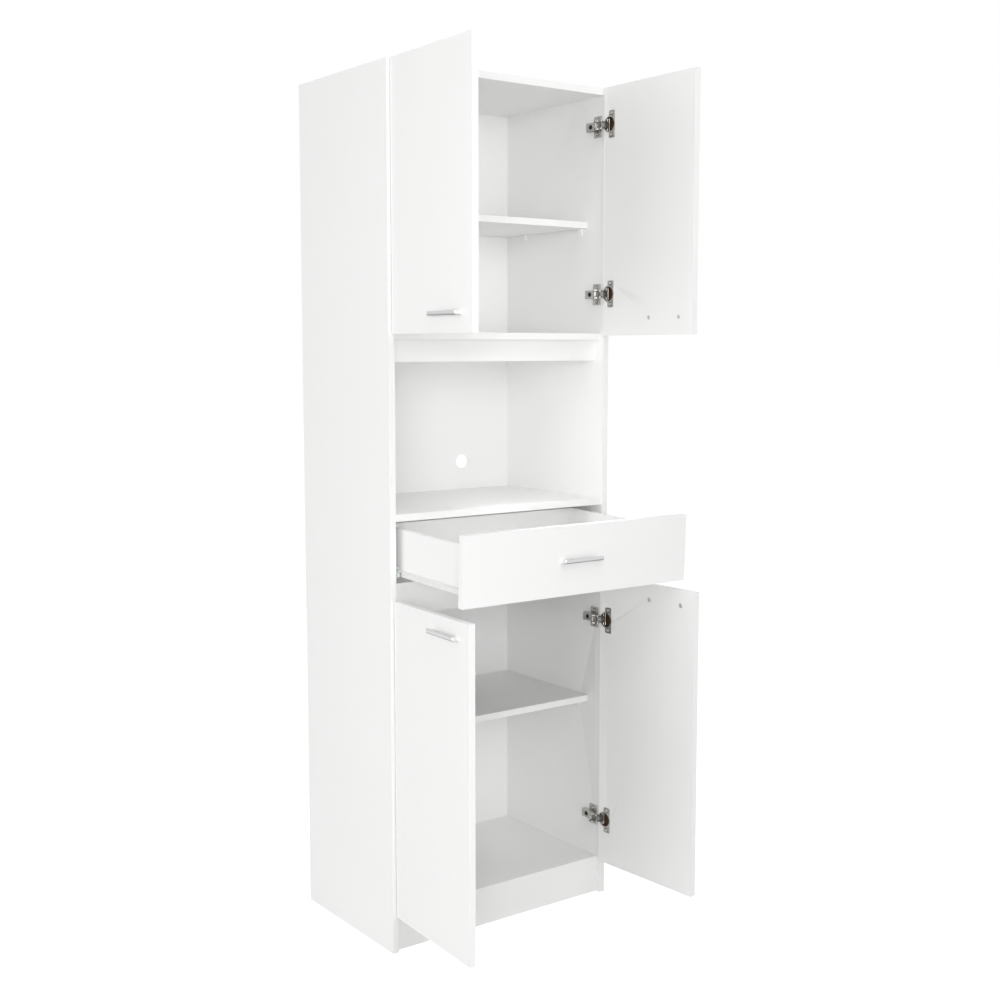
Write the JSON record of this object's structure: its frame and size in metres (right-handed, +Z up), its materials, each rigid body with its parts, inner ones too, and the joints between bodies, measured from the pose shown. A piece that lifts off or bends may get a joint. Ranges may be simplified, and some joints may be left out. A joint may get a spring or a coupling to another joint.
{
  "type": "microwave cabinet",
  "caption": "Tall free-standing kitchen cabinet with an open microwave niche, paired doors above and below on concealed hinges, and a drawer on roller runners.",
  "frame": {"origin": "middle of the plinth's underside, on the floor", "axes": "+X to the right across the front, +Y to the back, +Z up"},
  "size_m": [0.6456, 0.6785, 1.9],
  "materials": {
    "white_laminate": "white melamine faced board with thin white edge band, satin",
    "white_back": "white faced thin fibreboard, satin",
    "handle_metal": "satin bar with lighter ends",
    "hinge_nickel": "bright nickel plated pressed steel",
    "hinge_links": "darker nickel plated steel",
    "zinc": "zinc plated",
    "dowel_wood": "bare birch",
    "white_plastic": "moulded, smooth",
    "roller_plastic": "moulded nylon, smooth",
    "runner_enamel": "white powder coat"
  },
  "bodies": {
    "carcass": {"side_left": "white_laminate", "side_right": "white_laminate", "top_panel": "white_laminate", "upper_shelf": "white_laminate", "fixed_panel": "white_laminate", "niche_rail": "white_laminate", "niche_floor": "white_laminate", "drawer_rail": "white_laminate", "lower_shelf": "white_laminate", "floor_panel": "white_laminate", "plinth": "white_laminate", "back_upper": "white_back", "back_niche": "white_back", "back_lower": "white_back", "cam_locks": "zinc", "cam_bolts": "zinc", "dowels": "dowel_wood", "shelf_pins": "white_plastic", "carcass_screws": "zinc", "hinge_plates": "hinge_nickel", "hinge_arms": "hinge_nickel", "cabinet_runners": "runner_enamel"},
    "upper_left_door": {"upper_left_door": "white_laminate", "upper_left_cups": "hinge_nickel", "upper_left_screws": "zinc", "upper_left_handle": "handle_metal"},
    "upper_left_outer_links": {"upper_left_outer_links": "hinge_links"},
    "upper_left_inner_links": {"upper_left_inner_links": "hinge_links"},
    "upper_right_door": {"upper_right_door": "white_laminate", "upper_right_cups": "hinge_nickel", "upper_right_screws": "zinc", "upper_right_handle": "handle_metal"},
    "upper_right_outer_links": {"upper_right_outer_links": "hinge_links"},
    "upper_right_inner_links": {"upper_right_inner_links": "hinge_links"},
    "lower_left_door": {"lower_left_door": "white_laminate", "lower_left_cups": "hinge_nickel", "lower_left_screws": "zinc", "lower_left_handle": "handle_metal"},
    "lower_left_outer_links": {"lower_left_outer_links": "hinge_links"},
    "lower_left_inner_links": {"lower_left_inner_links": "hinge_links"},
    "lower_right_door": {"lower_right_door": "white_laminate", "lower_right_cups": "hinge_nickel", "lower_right_screws": "zinc", "lower_right_handle": "handle_metal"},
    "lower_right_outer_links": {"lower_right_outer_links": "hinge_links"},
    "lower_right_inner_links": {"lower_right_inner_links": "hinge_links"},
    "cabinet_rollers": {"cabinet_rollers": "roller_plastic"},
    "drawer": {"drawer_front": "white_laminate", "drawer_side_left": "white_laminate", "drawer_side_right": "white_laminate", "drawer_back": "white_laminate", "drawer_bottom": "white_back", "drawer_handle": "handle_metal", "drawer_screws": "zinc", "drawer_dowels": "dowel_wood", "drawer_runners": "runner_enamel"},
    "drawer_rollers": {"drawer_rollers": "roller_plastic"}
  },
  "joints": [
    {"name": "upper_left_hinge", "type": "hinge", "parent": "upper_left_outer_links", "child": "upper_left_door", "pos_m": [-0.28006, -0.03385, 1.62], "axis": [0, 0, -1], "range_deg": [-117.15, 18.02]},
    {"name": "upper_left_outer_link", "type": "hinge", "parent": "carcass", "child": "upper_left_outer_links", "pos_m": [-0.263, -0.0127, 1.62], "axis": [0, 0, -1], "range_deg": [-4.52, 26.65]},
    {"name": "upper_left_inner_link", "type": "hinge", "parent": "carcass", "child": "upper_left_inner_links", "pos_m": [-0.2677, -0.0267, 1.62], "axis": [0, 0, -1], "range_deg": [-3.21, 18.1]},
    {"name": "upper_right_hinge", "type": "hinge", "parent": "upper_right_outer_links", "child": "upper_right_door", "pos_m": [0.28017, -0.03376, 1.62], "axis": [0, 0, 1], "range_deg": [-115.86, 19.31]},
    {"name": "upper_right_outer_link", "type": "hinge", "parent": "carcass", "child": "upper_right_outer_links", "pos_m": [0.263, -0.0127, 1.62], "axis": [0, 0, 1], "range_deg": [-4.81, 26.36]},
    {"name": "upper_right_inner_link", "type": "hinge", "parent": "carcass", "child": "upper_right_inner_links", "pos_m": [0.2677, -0.0267, 1.62], "axis": [0, 0, 1], "range_deg": [-3.4, 17.9]},
    {"name": "lower_left_hinge", "type": "hinge", "parent": "lower_left_outer_links", "child": "lower_left_door", "pos_m": [-0.27985, -0.03402, 0.43], "axis": [0, 0, -1], "range_deg": [-119.73, 15.45]},
    {"name": "lower_left_outer_link", "type": "hinge", "parent": "carcass", "child": "lower_left_outer_links", "pos_m": [-0.263, -0.0127, 0.43], "axis": [0, 0, -1], "range_deg": [-3.95, 27.23]},
    {"name": "lower_left_inner_link", "type": "hinge", "parent": "carcass", "child": "lower_left_inner_links", "pos_m": [-0.2677, -0.0267, 0.43], "axis": [0, 0, -1], "range_deg": [-2.82, 18.48]},
    {"name": "lower_right_hinge", "type": "hinge", "parent": "lower_right_outer_links", "child": "lower_right_door", "pos_m": [0.27974, -0.0341, 0.43], "axis": [0, 0, 1], "range_deg": [-121.01, 14.16]},
    {"name": "lower_right_outer_link", "type": "hinge", "parent": "carcass", "child": "lower_right_outer_links", "pos_m": [0.263, -0.0127, 0.43], "axis": [0, 0, 1], "range_deg": [-3.66, 27.51]},
    {"name": "lower_right_inner_link", "type": "hinge", "parent": "carcass", "child": "lower_right_inner_links", "pos_m": [0.2677, -0.0267, 0.43], "axis": [0, 0, 1], "range_deg": [-2.63, 18.68]},
    {"name": "drawer_slide", "type": "slide", "parent": "cabinet_rollers", "child": "drawer", "axis": [0, -0.9993, -0.0366], "range_m": [-0.2485, 0]},
    {"name": "drawer_tip", "type": "hinge", "parent": "carcass", "child": "cabinet_rollers", "pos_m": [0, -0.0095, 0.832], "axis": [1, 0, 0], "range_deg": [-2.2, 0.1]},
    {"name": "drawer_roller_spin", "type": "hinge", "parent": "drawer", "child": "drawer_rollers", "pos_m": [0, 0.07195, 0.83499], "axis": [1, 0, 0], "range_deg": [-1790, 10]}
  ],
  "couplings": [
    {"joint": "upper_left_outer_link", "follows": "upper_left_hinge", "ratio": -0.22322},
    {"joint": "upper_left_inner_link", "follows": "upper_left_hinge", "ratio": -0.15021},
    {"joint": "upper_right_outer_link", "follows": "upper_right_hinge", "ratio": -0.22322},
    {"joint": "upper_right_inner_link", "follows": "upper_right_hinge", "ratio": -0.15021},
    {"joint": "lower_left_outer_link", "follows": "lower_left_hinge", "ratio": -0.22322},
    {"joint": "lower_left_inner_link", "follows": "lower_left_hinge", "ratio": -0.15021},
    {"joint": "lower_right_outer_link", "follows": "lower_right_hinge", "ratio": -0.22322},
    {"joint": "lower_right_inner_link", "follows": "lower_right_hinge", "ratio": -0.15021},
    {"joint": "drawer_tip", "follows": "drawer_slide", "rad_per_m": 0.14749},
    {"joint": "drawer_roller_spin", "follows": "drawer_slide", "rad_per_m": 125}
  ]
}
